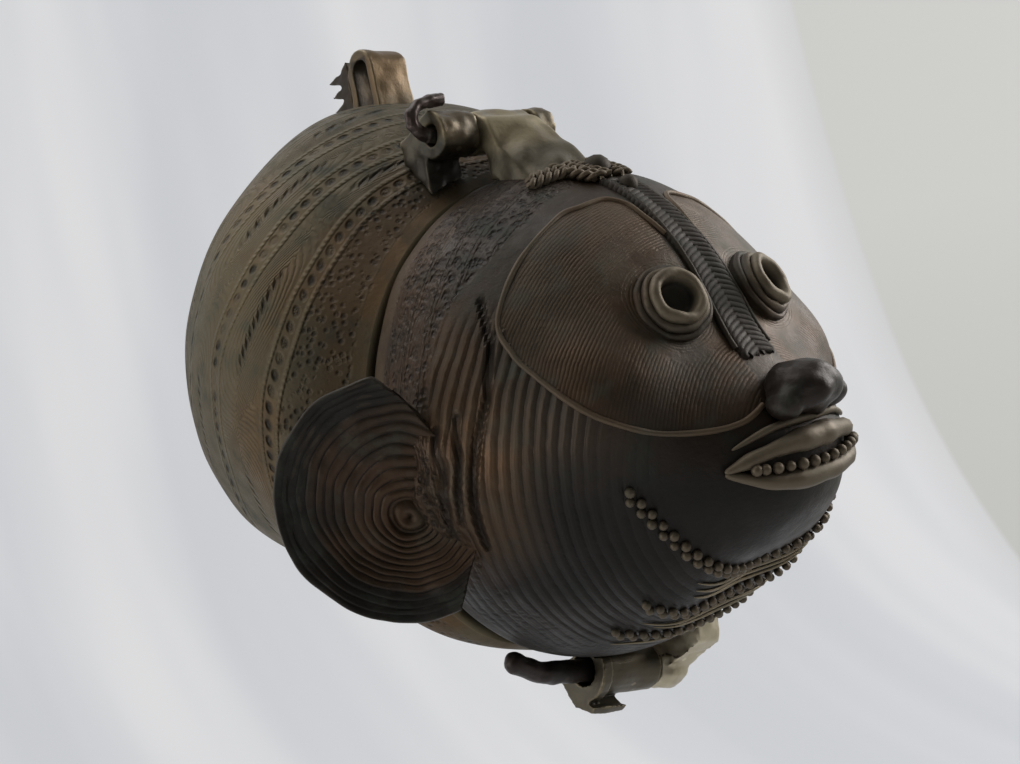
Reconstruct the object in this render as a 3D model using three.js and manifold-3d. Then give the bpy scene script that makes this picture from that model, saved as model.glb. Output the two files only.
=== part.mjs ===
// A cast bronze box in the form of a head. A deep globular bowl is the skull, and carries the loop
// that the box hangs from. The lid is the face, with a muzzle, ring eyes and large coiled ears. The
// two halves turn on a pin across the top of their rims, and a thick pin clasps them at the bottom.
//
// Millimetres and degrees. +Z is up, the face looks along -Y and +X is the head's own left.
// Everything is built about the centre of the bowl's rim, then moved so that the origin is the
// point inside the loop that the box hangs by.
import * as THREE from 'three';
import { mergeVertices } from 'three/addons/utils/BufferGeometryUtils.js';
import Module from 'manifold-3d';

const wasm = await Module();
wasm.setup();

// Shells
const RIM_RADIUS = 48;
const WALL = 3.2;
const RIM_GAP = 0.4; // between the rims, at the hinge
const FIT = 0.3; // between pieces that are seated on each other
const BOWL_RADIUS = 59;
const BOWL_WIDEST = 25; // behind the rim
const BOWL_DEPTH = 95;
const BOWL_HALF_HEIGHT = 56.5;
const BOWL_HALF_UNDER = 47; // the underside is flatter
const BOWL_RISE = 16; // how far the skull stands above the middle of the rim
const RISE_LENGTH = 40; // it reaches that height this far behind the rim
const LID_DEPTH = 44.5;
const LID_AJAR = 3; // the cast rims don't quite meet at the bottom
const MUZZLE_REACH = 11;
const MUZZLE_PITCH = -17;
const MUZZLE_HALF_WIDTH = 22;
const MUZZLE_HALF_HEIGHT = 17;
const ROUND = 36; // facets round a shell

// Loop and its frill
const LOOP_PLACE = 41; // behind the rim
const LOOP_WIDTH = 10;
const LOOP_DEPTH = 10;
const LOOP_HEIGHT = 14.5;
const LOOP_STRAP = 2.3;
const LOOP_FOOT = 2.2; // metal under the hole
const FRILL_WIDTH = 9;
const FRILL_REACH = 4.5;
const FRILL_STEP = 2.4;
const FRILL_TEETH = 4;

// Hinge
const HINGE_RISE = 9; // of the hinge's axis above the rims
const KNUCKLE_RADIUS = 4.6;
const HINGE_PIN_RADIUS = 1.6;
const HINGE_PLAY = 0.4;
const KNUCKLE_RIGHT = 12; // the lid's knuckle, to the head's right and left of the middle
const KNUCKLE_LEFT = 2.5;
const LUG_RIGHT_WIDTH = 8.8;
const LUG_LEFT_WIDTH = 4.5;
const KNUCKLE_GAP = 0.5;
const LUG_REACH = 10;
const STRAP_REACH = 18;
const TAIL_RISE = 6.8;
const TAIL_REACH = 8;
const TAIL_SWELL = 3.4;
const PIN_HEAD = 1.2;

// Clasp
const CLASP_DROP = 4.5; // of the clasp's axis below the rims
const CLASP_PLACE = -3; // in front of the bowl's rim
const CLASP_TILT = 15; // the clasp leans, lower to the head's left
const CLASP_PIN_RADIUS = 2.3;
const CLASP_PLAY = 0.8;
const BARREL_RADIUS = 5;
const BARREL_NEAR = 12; // reaches this far to the head's right
const BARREL_FAR = 5;
const COLLAR_RADIUS = 6.2;
const COLLAR_WIDTH = 2.6;
const CLASP_LUG_RADIUS = 5.4;
const CLASP_LUG_WIDTH = 9;
const CLASP_GAP = 1;
const CLASP_TRAVEL = 10;
const HANDLE_LENGTH = 6.5;
const HANDLE_RISE = 1.2;

// Face
const EAR_RADIUS = 21.4;
const EAR_THICKNESS = 2.2;
const EAR_DISH = 4;
const EAR_RINGS = 9;
const EAR_RIPPLE = 0.7;
const EAR_OUT = 1.8; // of a disc's middle beyond the rim
const EAR_FRONT = 7.1;
const EAR_DOWN = 5.8;
const EAR_TURN = 47; // the discs face this far out from straight ahead, and a little down
const EAR_PITCH = -9;
const EAR_CUT = 11.5; // from the middle of a disc to its straight edge at the cheek
const EYE_TURN = 16;
const EYE_PITCH = 20;
const EYE_RADIUS = 7.2;
const EYE_HOLE = 3.1;
const EYE_HEIGHT = 4.8;
const EYE_COILS = 3;
const NOSE_PITCH = -3;
const NOSE_HALF_WIDTH = 7;
const NOSE_HALF_HEIGHT = 5.2;
const NOSE_REACH = 7;
const LIP_HALF_HEIGHT = 2.1;
const LIP_REACH = 2.6;
const LIP_CORNER_TURN = 17.5;
const UPPER_LIP_PITCH = -12.2;
const LOWER_LIP_PITCH = -17;
const RIDGE_WIDTH = 8.4;
const RIDGE_HEIGHT = 2.5;
const RIDGE_TOP_PITCH = 62;
const RIDGE_END_PITCH = 5;
const KNOB_RADIUS = 2.6;
const KNOB_STEP = 9; // degrees of pitch between the knobs
const BEAD_RADIUS = 1.25;
const BEAD_SPACING = 3.5;
const BEAD_WIRE = 0.7;

const rad = THREE.MathUtils.degToRad;
const hingeHeight = RIM_RADIUS + HINGE_RISE;

const bowlBronze = new THREE.MeshStandardMaterial({ color: 0x4a4030, roughness: 0.62, metalness: 0.75 });
const faceBronze = new THREE.MeshStandardMaterial({ color: 0x3a332b, roughness: 0.6, metalness: 0.75 });
const earBronze = new THREE.MeshStandardMaterial({ color: 0x4b3c2a, roughness: 0.6, metalness: 0.75 });
const rubbedBronze = new THREE.MeshStandardMaterial({ color: 0x6b5a38, roughness: 0.45, metalness: 0.85 });
const pinMetal = new THREE.MeshStandardMaterial({ color: 0x453a36, roughness: 0.5, metalness: 0.8 });

// Solids

/** The closed solid inside a three.js geometry, with its faces turned outwards. */
function solid(geometry) {
  const bare = new THREE.BufferGeometry();
  bare.setAttribute('position', geometry.getAttribute('position').clone());
  if (geometry.index) bare.setIndex(geometry.index.clone());
  const merged = mergeVertices(bare, 1e-4);
  const p = merged.getAttribute('position').array;
  const faces = [];
  let volume = 0;
  for (let i = 0; i < merged.index.count; i += 3) {
    const [a, b, c] = [0, 1, 2].map((k) => merged.index.getX(i + k));
    if (a === b || b === c || c === a) continue;
    faces.push(a, b, c);
    const [u, v, w] = [a, b, c].map((n) => new THREE.Vector3().fromArray(p, 3 * n));
    volume += u.dot(v.cross(w));
  }
  if (volume < 0) faces.reverse();
  return new wasm.Manifold(
    new wasm.Mesh({ numProp: 3, vertProperties: new Float32Array(p), triVerts: new Uint32Array(faces) }),
  );
}

/** A mesh named after its piece, from a solid. */
function piece(name, body, material) {
  const result = body.getMesh();
  const geometry = new THREE.BufferGeometry();
  geometry.setAttribute('position', new THREE.BufferAttribute(new Float32Array(result.vertProperties), 3));
  geometry.setIndex(new THREE.BufferAttribute(new Uint32Array(result.triVerts), 1));
  geometry.computeVertexNormals();
  const mesh = new THREE.Mesh(geometry, material);
  mesh.name = name;
  return mesh;
}

const joined = (...bodies) => bodies.reduce((sum, body) => sum.add(body));

/** Moves every vertex of a geometry by a function of its place. */
function bend(geometry, move) {
  const position = geometry.getAttribute('position');
  const v = new THREE.Vector3();
  for (let i = 0; i < position.count; i++) {
    move(v.fromBufferAttribute(position, i));
    position.setXYZ(i, v.x, v.y, v.z);
  }
  return geometry;
}

// The two shells

/** Radius of the skull at a distance behind its widest place. */
const skullRadius = (behind) => BOWL_RADIUS * Math.sqrt(1 - (behind / (BOWL_DEPTH - BOWL_WIDEST)) ** 2);

/** Height of a point of the turned skull, which is lifted and flattened a little behind the rim. */
function skullHeight(place, height) {
  const share = THREE.MathUtils.smoothstep(place, 0, RISE_LENGTH);
  const flatter = height > 0
    ? THREE.MathUtils.lerp(1, BOWL_HALF_HEIGHT / BOWL_RADIUS, share)
    : THREE.MathUtils.lerp(1, BOWL_HALF_UNDER / BOWL_RADIUS, THREE.MathUtils.smoothstep(place, 0, BOWL_WIDEST));
  return height * flatter + BOWL_RISE * share;
}

/** The bowl's half profile, from the rim to the back, moved outwards by an offset. */
function bowlProfile(offset) {
  const path = new THREE.Path();
  path.moveTo(RIM_RADIUS, 0);
  path.bezierCurveTo(
    RIM_RADIUS + 0.25 * (BOWL_RADIUS - RIM_RADIUS), 0.16 * BOWL_WIDEST,
    BOWL_RADIUS, 0.45 * BOWL_WIDEST,
    BOWL_RADIUS, BOWL_WIDEST,
  );
  path.absellipse(0, BOWL_WIDEST, BOWL_RADIUS, BOWL_DEPTH - BOWL_WIDEST, 0, Math.PI / 2);
  const points = path.getPoints(5);
  return points.map((point, i) => {
    const along = points[Math.min(i + 1, points.length - 1)].clone().sub(points[Math.max(i - 1, 0)]).normalize();
    const moved = new THREE.Vector2(point.x + along.y * offset, point.y - along.x * offset);
    return i === points.length - 1 ? moved.setX(0) : moved;
  });
}

/** Turns a bowl profile about the head's long axis and lifts it to the height of the skull. */
function bowlTurned(profile) {
  return solid(bend(new THREE.LatheGeometry(profile, ROUND), (v) => {
    v.z = skullHeight(v.y, v.z);
  }));
}

function bowlFilled(offset) {
  const outer = bowlProfile(offset);
  return bowlTurned([new THREE.Vector2(0, outer[0].y), ...outer]);
}

function bowlShell() {
  const inner = bowlProfile(-WALL);
  inner[0].set(RIM_RADIUS - WALL, 0);
  return bowlTurned([...inner.reverse(), ...bowlProfile(0)]);
}

/** Distance from the middle of the lid's rim to its face, in a direction. */
function faceRadius(direction) {
  const turn = THREE.MathUtils.radToDeg(Math.atan2(direction.x, -direction.y));
  const pitch = THREE.MathUtils.radToDeg(Math.asin(direction.z));
  const plain = 1 / Math.hypot(direction.x / RIM_RADIUS, direction.y / LID_DEPTH, direction.z / RIM_RADIUS);
  const away = Math.hypot(turn / MUZZLE_HALF_WIDTH, (pitch - MUZZLE_PITCH) / MUZZLE_HALF_HEIGHT);
  return plain + MUZZLE_REACH * Math.exp(-0.7 * away ** 2.6);
}

/** A point above the face, by how far it is turned from straight ahead and pitched up. */
function face(turn, pitch, lift = 0) {
  const direction = new THREE.Vector3(
    Math.sin(rad(turn)) * Math.cos(rad(pitch)),
    -Math.cos(rad(turn)) * Math.cos(rad(pitch)),
    Math.sin(rad(pitch)),
  );
  const point = direction.multiplyScalar(faceRadius(direction) + lift);
  point.y -= RIM_GAP;
  return point;
}

/** The lid's dome: each layer is a half circle of directions, stretched out to the face. */
function lidTurned(offsets) {
  const profile = [];
  offsets.forEach((offset, layer) => {
    for (let i = 0; i <= 14; i++) {
      const angle = (layer === 0 ? i : 14 - i) / 14 * (Math.PI / 2);
      const size = 1 - layer / 2;
      profile.push(new THREE.Vector2(Math.sin(angle) * size, -Math.cos(angle) * size));
    }
  });
  if (offsets.length === 1) profile.push(new THREE.Vector2(0, 0));
  return solid(bend(new THREE.LatheGeometry(profile, ROUND), (v) => {
    const size = v.length();
    if (size > 0.1) {
      v.divideScalar(size);
      v.multiplyScalar(faceRadius(v) + offsets[size > 0.75 ? 0 : 1]);
    }
    v.y -= RIM_GAP;
  }));
}

const lidFilled = (offset) => lidTurned([offset]);

// The lid turns about the hinge's axis. At rest it stands a little open.
const lidPose = new THREE.Matrix4()
  .makeTranslation(0, 0, hingeHeight)
  .multiply(new THREE.Matrix4().makeRotationX(-rad(LID_AJAR)))
  .multiply(new THREE.Matrix4().makeTranslation(0, 0, -hingeHeight));

/** The same solid after a matrix. */
function placed(body, matrix) {
  const mesh = piece('', body);
  return solid(mesh.geometry.applyMatrix4(matrix));
}

/** A solid of the bowl's, as it lies for the lid before the lid is turned to its place. */
const openLid = (body) => placed(body, new THREE.Matrix4().copy(lidPose).invert());

const bowlSeat = bowlFilled(FIT);
const lidSeat = lidFilled(FIT);

// Straps, rings and rods

/** A shape drawn in the Y-Z plane, given a width along X from a start. */
function across(shape, start, width, curveSegments = 10) {
  const geometry = new THREE.ExtrudeGeometry(shape, { depth: width, bevelEnabled: false, curveSegments });
  geometry.applyMatrix4(new THREE.Matrix4().makeBasis(
    new THREE.Vector3(0, 1, 0), new THREE.Vector3(0, 0, 1), new THREE.Vector3(1, 0, 0),
  ));
  return geometry.translate(start, 0, 0);
}

function disc(radius, start, width) {
  return across(new THREE.Shape().absarc(0, 0, radius, 0, 2 * Math.PI), start, width);
}

function polygon(...corners) {
  return new THREE.Shape(corners.map(([y, z]) => new THREE.Vector2(y, z)));
}

/** A round rod along a curve. */
function rod(curve, radius, steps, sides = 8) {
  const section = new THREE.Shape().absarc(0, 0, radius, 0, 2 * Math.PI);
  return solid(new THREE.ExtrudeGeometry(section, { extrudePath: curve, steps, curveSegments: sides / 2 }));
}

// Hanging loop

const loopBase = skullHeight(LOOP_PLACE, skullRadius(LOOP_PLACE - BOWL_WIDEST));
const bearingHeight = loopBase + LOOP_HEIGHT - LOOP_STRAP;

/** An arch standing on the bowl, by its half depth, its foot and its height. */
function arch(half, foot, height) {
  const shape = new THREE.Shape();
  shape.moveTo(half, foot);
  shape.lineTo(half, height - half);
  shape.absarc(0, height - half, half, 0, Math.PI);
  shape.lineTo(-half, foot);
  return shape;
}

function hangingLoop() {
  const outer = arch(LOOP_DEPTH / 2, -2 * WALL, LOOP_HEIGHT);
  outer.holes.push(arch(LOOP_DEPTH / 2 - LOOP_STRAP, LOOP_FOOT, LOOP_HEIGHT - LOOP_STRAP));
  const strap = across(outer, -LOOP_WIDTH / 2, LOOP_WIDTH).translate(0, LOOP_PLACE, loopBase);
  return solid(strap).subtract(bowlSeat);
}

/** A jagged crest that stands behind the loop. */
function loopFrill() {
  const front = LOOP_PLACE + LOOP_DEPTH / 2 + FIT;
  const crest = [];
  for (let i = 0; i < 2 * FRILL_TEETH; i++) {
    const out = i % 2 ? FRILL_REACH : 0.35 * FRILL_REACH;
    crest.push([front + out, loopBase + LOOP_HEIGHT - LOOP_DEPTH / 2 - (i + 1) * FRILL_STEP / 2]);
  }
  const top = loopBase + LOOP_HEIGHT - LOOP_DEPTH / 2;
  const shape = polygon([front, loopBase - 2 * WALL], [front, top], ...crest, [front + FRILL_REACH, loopBase - 2 * WALL]);
  return solid(across(shape, -FRILL_WIDTH / 2, FRILL_WIDTH)).subtract(bowlSeat);
}

// Hinge

const hingeBore = HINGE_PIN_RADIUS + HINGE_PLAY;
const lugRightStart = -KNUCKLE_RIGHT - KNUCKLE_GAP - LUG_RIGHT_WIDTH;
const lugLeftStart = KNUCKLE_LEFT + KNUCKLE_GAP;
const hingeEnd = lugLeftStart + LUG_LEFT_WIDTH;

/** A strap rolled round the hinge's axis, with a leg down to the shell it belongs to. */
function hingeKnuckle(start, width, leg, ...seats) {
  const knuckle = joined(solid(disc(KNUCKLE_RADIUS, start, width)), solid(across(leg, start, width)))
    .subtract(solid(disc(hingeBore, start - 1, width + 2)));
  const toAxis = new THREE.Matrix4().makeTranslation(0, 0, -hingeHeight);
  return seats.reduce((body, seat) => body.subtract(placed(seat, toAxis)), knuckle);
}

const bowlLeg = polygon(
  [0, KNUCKLE_RADIUS], [LUG_REACH, 0.2 * KNUCKLE_RADIUS], [LUG_REACH, -2.4 * KNUCKLE_RADIUS],
  [0.6 * KNUCKLE_RADIUS, -2.4 * KNUCKLE_RADIUS], [0.6 * KNUCKLE_RADIUS, -0.5 * KNUCKLE_RADIUS],
);
const lidStrap = polygon(
  [0, KNUCKLE_RADIUS], [-0.35 * STRAP_REACH, 0.3 * KNUCKLE_RADIUS], [-STRAP_REACH, -2.7 * KNUCKLE_RADIUS],
  [-STRAP_REACH, -4.4 * KNUCKLE_RADIUS], [-0.6 * KNUCKLE_RADIUS, -4.4 * KNUCKLE_RADIUS],
  [-0.6 * KNUCKLE_RADIUS, -0.5 * KNUCKLE_RADIUS],
);

/** The pin, upset at the far end and bent up and back over the near lug. */
function hingePin() {
  const start = lugRightStart - 1;
  const turn = new THREE.QuadraticBezierCurve3(
    new THREE.Vector3(start + 1, 0, 0),
    new THREE.Vector3(start - TAIL_SWELL, 0, 0.1 * TAIL_RISE),
    new THREE.Vector3(start - 0.65 * TAIL_SWELL, 0, 0.62 * TAIL_RISE),
  );
  const fold = new THREE.QuadraticBezierCurve3(
    new THREE.Vector3(start - 0.72 * TAIL_SWELL, 0, 0.5 * TAIL_RISE),
    new THREE.Vector3(start - 0.47 * TAIL_SWELL, 0, TAIL_RISE),
    new THREE.Vector3(start - 0.65 * TAIL_SWELL + TAIL_REACH, 0, TAIL_RISE),
  );
  return joined(
    solid(disc(HINGE_PIN_RADIUS, start, hingeEnd - start + FIT + 0.5 * PIN_HEAD)),
    solid(disc(1.5 * HINGE_PIN_RADIUS, hingeEnd + FIT, PIN_HEAD)),
    rod(turn, 0.9 * HINGE_PIN_RADIUS, 6),
    rod(fold, 0.85 * HINGE_PIN_RADIUS, 8),
  );
}

// Clasp

// Places along the clasp's axis, from the middle of the head towards its left.
const barrelStart = -BARREL_NEAR;
const lugStart = BARREL_FAR + CLASP_GAP;
const pinParked = BARREL_FAR - 0.5;
const handleStart = barrelStart - CLASP_TRAVEL - FIT;
const claspBore = CLASP_PIN_RADIUS + CLASP_PLAY;
const claspPose = new THREE.Matrix4()
  .makeTranslation(0, CLASP_PLACE, -RIM_RADIUS - CLASP_DROP)
  .multiply(new THREE.Matrix4().makeRotationY(rad(CLASP_TILT)));

/** The bowl's half of the clasp: a rolled strap with its loose end left standing below. */
function claspBarrel() {
  const width = BARREL_NEAR + BARREL_FAR;
  const leg = polygon(
    [0.4 * BARREL_RADIUS, 0], [BARREL_RADIUS, 0], [2.2 * BARREL_RADIUS, BARREL_RADIUS],
    [2.2 * BARREL_RADIUS, 2.4 * BARREL_RADIUS], [0.4 * BARREL_RADIUS, 2.4 * BARREL_RADIUS],
  );
  const looseEnd = polygon(
    [2 * BARREL_RADIUS, 0.9 * BARREL_RADIUS], [1.5 * BARREL_RADIUS, -0.4 * BARREL_RADIUS],
    [0.5 * BARREL_RADIUS, -1.5 * BARREL_RADIUS], [-0.5 * BARREL_RADIUS, -1.62 * BARREL_RADIUS],
    [-0.75 * BARREL_RADIUS, -1.35 * BARREL_RADIUS], [-0.45 * BARREL_RADIUS, -1.3 * BARREL_RADIUS],
    [0.3 * BARREL_RADIUS, -0.8 * BARREL_RADIUS], [0.8 * BARREL_RADIUS, 0],
  );
  const body = joined(
    solid(disc(BARREL_RADIUS, barrelStart, width)),
    solid(disc(COLLAR_RADIUS, barrelStart, COLLAR_WIDTH)),
    solid(across(leg, barrelStart, width)),
    solid(across(looseEnd, barrelStart, 0.5 * width)),
  ).subtract(solid(disc(claspBore, barrelStart - 1, width + 2)));
  return placed(body, claspPose).subtract(bowlSeat).subtract(placed(lidSeat, lidPose));
}

/** The lid's half of the clasp: a lumpy lug with a short leg up to the lid's edge. */
function claspLug() {
  const profile = [
    new THREE.Vector2(claspBore, lugStart),
    new THREE.Vector2(0.82 * CLASP_LUG_RADIUS, lugStart),
    new THREE.Vector2(CLASP_LUG_RADIUS, lugStart + 0.25 * CLASP_LUG_WIDTH),
    new THREE.Vector2(CLASP_LUG_RADIUS, lugStart + 0.7 * CLASP_LUG_WIDTH),
    new THREE.Vector2(0.75 * CLASP_LUG_RADIUS, lugStart + CLASP_LUG_WIDTH),
    new THREE.Vector2(claspBore, lugStart + CLASP_LUG_WIDTH),
    new THREE.Vector2(claspBore, lugStart),
  ];
  const ring = new THREE.LatheGeometry(profile, 16).rotateZ(-Math.PI / 2);
  const leg = polygon(
    [-0.4 * CLASP_LUG_RADIUS, 0], [-CLASP_LUG_RADIUS, 0], [-2.4 * CLASP_LUG_RADIUS, CLASP_LUG_RADIUS],
    [-2.4 * CLASP_LUG_RADIUS, 2.4 * CLASP_LUG_RADIUS], [-0.4 * CLASP_LUG_RADIUS, 2.4 * CLASP_LUG_RADIUS],
  );
  const body = joined(solid(ring), solid(across(leg, lugStart + 0.12 * CLASP_LUG_WIDTH, 0.76 * CLASP_LUG_WIDTH)))
    .subtract(solid(disc(claspBore, lugStart - 1, CLASP_LUG_WIDTH + 2)));
  return openLid(placed(body, claspPose).subtract(bowlSeat)).subtract(lidSeat);
}

/** The thick pin, drawn back. Its handle bends up along the box and stops it at the barrel. */
function claspPin() {
  const handle = new THREE.QuadraticBezierCurve3(
    new THREE.Vector3(handleStart + 0.5, 0, 0),
    new THREE.Vector3(handleStart - 0.5 * HANDLE_LENGTH, 0, 0),
    new THREE.Vector3(handleStart - HANDLE_LENGTH, 0, HANDLE_RISE),
  );
  const end = new THREE.SphereGeometry(CLASP_PIN_RADIUS, 12, 6).translate(handleStart - HANDLE_LENGTH, 0, HANDLE_RISE);
  const body = joined(
    solid(disc(CLASP_PIN_RADIUS, handleStart, pinParked - handleStart)),
    rod(handle, CLASP_PIN_RADIUS, 5, 12),
    solid(end),
  );
  return placed(body, claspPose);
}

// Face

/** Turns a lathed piece, made along Y, to look along a direction from a place. */
function facing(geometry, place, direction) {
  const turn = new THREE.Quaternion().setFromUnitVectors(new THREE.Vector3(0, 1, 0), direction);
  return geometry.applyQuaternion(turn).translate(place.x, place.y, place.z);
}

/** A dished disc of coiled wire. side is 1 on the head's left and -1 on its right. */
function ear(side) {
  const front = [];
  for (let i = 0; i <= 2 * EAR_RINGS; i++) {
    const out = EAR_RADIUS * i / (2 * EAR_RINGS);
    const crest = i % 2 ? EAR_RIPPLE : 0;
    front.unshift(new THREE.Vector2(out, EAR_DISH * (out / EAR_RADIUS) ** 2 + crest));
  }
  const back = [0, 0.35, 0.7, 1].map((share) =>
    new THREE.Vector2(share * EAR_RADIUS, EAR_DISH * share ** 2 - EAR_THICKNESS));
  // The disc's axes: towards the cheek, out of its dished face, and the third across them.
  const cheek = new THREE.Vector3(-side * Math.cos(rad(EAR_TURN)), -Math.sin(rad(EAR_TURN)), 0);
  const outwards = new THREE.Vector3(side * Math.sin(rad(EAR_TURN)), -Math.cos(rad(EAR_TURN)), Math.tan(rad(EAR_PITCH)));
  outwards.normalize();
  const pose = new THREE.Matrix4().makeBasis(cheek, outwards, cheek.clone().cross(outwards));
  pose.setPosition(side * (RIM_RADIUS + EAR_OUT), -EAR_FRONT - RIM_GAP, -EAR_DOWN);
  const beyondCheek = new THREE.BoxGeometry(EAR_RADIUS, 4 * EAR_RADIUS, 4 * EAR_RADIUS);
  beyondCheek.translate(EAR_CUT + EAR_RADIUS / 2, 0, 0);
  const disc = solid(new THREE.LatheGeometry([...back, ...front], 28)).subtract(solid(beyondCheek));
  return placed(disc, pose).subtract(lidSeat);
}

/** A tube of stacked wire rings, each narrower and higher than the last, with a deep hole. */
function eye(side) {
  const coil = (EYE_RADIUS - EYE_HOLE) / EYE_COILS;
  const profile = [new THREE.Vector2(0, -2 * WALL), new THREE.Vector2(EYE_RADIUS, -2 * WALL)];
  for (let i = 0; i < EYE_COILS; i++) {
    const height = EYE_HEIGHT * (i + 1) / EYE_COILS;
    const edge = EYE_RADIUS - i * coil;
    profile.push(new THREE.Vector2(edge, height - 0.5 * coil), new THREE.Vector2(edge - 0.3 * coil, height));
    profile.push(new THREE.Vector2(edge - 0.7 * coil, height));
  }
  profile.push(new THREE.Vector2(EYE_HOLE, EYE_HEIGHT - 0.5 * coil), new THREE.Vector2(EYE_HOLE, 1), new THREE.Vector2(0, 1));
  const place = face(side * EYE_TURN, EYE_PITCH);
  const tube = facing(new THREE.LatheGeometry(profile, 20), place, place.clone().normalize());
  return solid(tube).subtract(lidSeat);
}

/** A snub nose with two round wings. */
function nose() {
  const place = face(0, NOSE_PITCH, 0.25 * NOSE_REACH);
  const bulb = new THREE.SphereGeometry(1, 14, 10).scale(NOSE_HALF_WIDTH, NOSE_REACH, NOSE_HALF_HEIGHT);
  const wings = [-1, 1].map((side) => {
    const wing = new THREE.SphereGeometry(0.62 * NOSE_HALF_HEIGHT, 10, 8);
    return solid(wing.translate(side * 0.8 * NOSE_HALF_WIDTH, place.y - 0.1 * NOSE_REACH, place.z - 0.3 * NOSE_HALF_HEIGHT));
  });
  return joined(solid(bulb.translate(place.x, place.y, place.z)), ...wings).subtract(lidSeat);
}

/** Two thick lips round the muzzle that meet at the corners of the mouth. */
function lips() {
  const corner = (UPPER_LIP_PITCH + LOWER_LIP_PITCH) / 2;
  const lip = (pitch) => {
    const stations = [-1, -0.55, 0, 0.55, 1].map((side) =>
      face(side * LIP_CORNER_TURN, THREE.MathUtils.lerp(pitch, corner, side ** 4)));
    const section = new THREE.Shape().absellipse(0, 0, LIP_HALF_HEIGHT, LIP_REACH, 0, 2 * Math.PI);
    const path = new THREE.CatmullRomCurve3(stations);
    return solid(new THREE.ExtrudeGeometry(section, { extrudePath: path, steps: 11, curveSegments: 5 }));
  };
  return joined(lip(UPPER_LIP_PITCH), lip(LOWER_LIP_PITCH)).subtract(lidSeat);
}

/** The raised ridge that runs down the forehead, knobbed where it starts. */
function foreheadRidge() {
  const stations = [0, 0.25, 0.5, 0.75, 1].map((share) =>
    face(0, THREE.MathUtils.lerp(RIDGE_TOP_PITCH, RIDGE_END_PITCH, share)));
  const section = new THREE.Shape().absellipse(0, 0, RIDGE_WIDTH / 2, RIDGE_HEIGHT, 0, 2 * Math.PI);
  const path = new THREE.CatmullRomCurve3(stations);
  const ridge = solid(new THREE.ExtrudeGeometry(section, { extrudePath: path, steps: 11, curveSegments: 5 }));
  const knobs = [0, 1].map((i) => {
    const place = face(0, RIDGE_TOP_PITCH - KNOB_STEP * i, RIDGE_HEIGHT - 0.5 * KNOB_RADIUS);
    return solid(new THREE.SphereGeometry(KNOB_RADIUS, 10, 8).translate(place.x, place.y, place.z));
  });
  return joined(ridge, ...knobs).subtract(lidSeat);
}

/** A wire of beads laid along the jaw, through places given for the head's right side. */
function beadRow(...halfPlaces) {
  const lift = FIT + BEAD_RADIUS;
  const right = halfPlaces.map(([turn, pitch]) => face(-turn, pitch, lift));
  const left = halfPlaces.filter(([turn]) => turn > 0).reverse().map(([turn, pitch]) => face(turn, pitch, lift));
  const path = new THREE.CatmullRomCurve3([...right, ...left]);
  const count = Math.round(path.getLength() / BEAD_SPACING);
  const beads = path.getSpacedPoints(count).map((place) =>
    solid(new THREE.IcosahedronGeometry(BEAD_RADIUS).translate(place.x, place.y, place.z)));
  return joined(rod(path, BEAD_WIRE, count, 4), ...beads);
}

// The box

const bowlParts = [
  piece('bowl_shell', bowlShell(), bowlBronze),
  piece('hanging_loop', hangingLoop(), rubbedBronze),
  piece('loop_frill', loopFrill(), bowlBronze),
  piece('clasp_barrel', claspBarrel(), rubbedBronze),
];

// The hinge's pieces are drawn about its axis.
const hinge = new THREE.Group();
hinge.position.z = hingeHeight;
hinge.add(
  piece('bowl_hinge_lug_right', hingeKnuckle(lugRightStart, LUG_RIGHT_WIDTH, bowlLeg, bowlSeat), rubbedBronze),
  piece('bowl_hinge_lug_left', hingeKnuckle(lugLeftStart, LUG_LEFT_WIDTH, bowlLeg, bowlSeat), rubbedBronze),
  piece('hinge_pin', hingePin(), pinMetal),
);

const lid = new THREE.Group();
lid.applyMatrix4(lidPose);
const strap = piece(
  'lid_hinge_strap',
  hingeKnuckle(-KNUCKLE_RIGHT, KNUCKLE_RIGHT + KNUCKLE_LEFT, lidStrap, lidSeat, openLid(bowlSeat)),
  rubbedBronze,
);
strap.position.z = hingeHeight;
lid.add(
  piece('lid_shell', lidTurned([0, -WALL]), faceBronze),
  strap,
  piece('lid_clasp_lug', claspLug(), rubbedBronze),
  piece('ear_right', ear(-1), earBronze),
  piece('ear_left', ear(1), earBronze),
  piece('eye_right', eye(-1), faceBronze),
  piece('eye_left', eye(1), faceBronze),
  piece('nose', nose(), faceBronze),
  piece('lips', lips(), faceBronze),
  piece('forehead_ridge', foreheadRidge(), faceBronze),
  piece('jaw_beads', beadRow([37, -16], [27, -29], [14, -37.5], [0, -40]), faceBronze),
  piece('beard_beads', beadRow([37, -43], [22, -49], [0, -52]), faceBronze),
  piece('throat_beads', beadRow([48, -54], [26, -61], [0, -63]), faceBronze),
);

const box = new THREE.Group();
box.position.set(0, -LOOP_PLACE, -bearingHeight);
box.add(...bowlParts, hinge, lid, piece('clasp_pin', claspPin(), pinMetal));

export default box;
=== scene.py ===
# A hollow bronze box in the form of a head, cast by the lost-wax method. Its skull is a deep bowl,
# its face is the lid, and everything on both was laid up in wax threads before casting.
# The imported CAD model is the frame, in metres, with its origin at the bearing point of the loop.
import math

import bmesh
import bpy
import numpy as np
from mathutils import Matrix, Vector, noise


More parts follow.
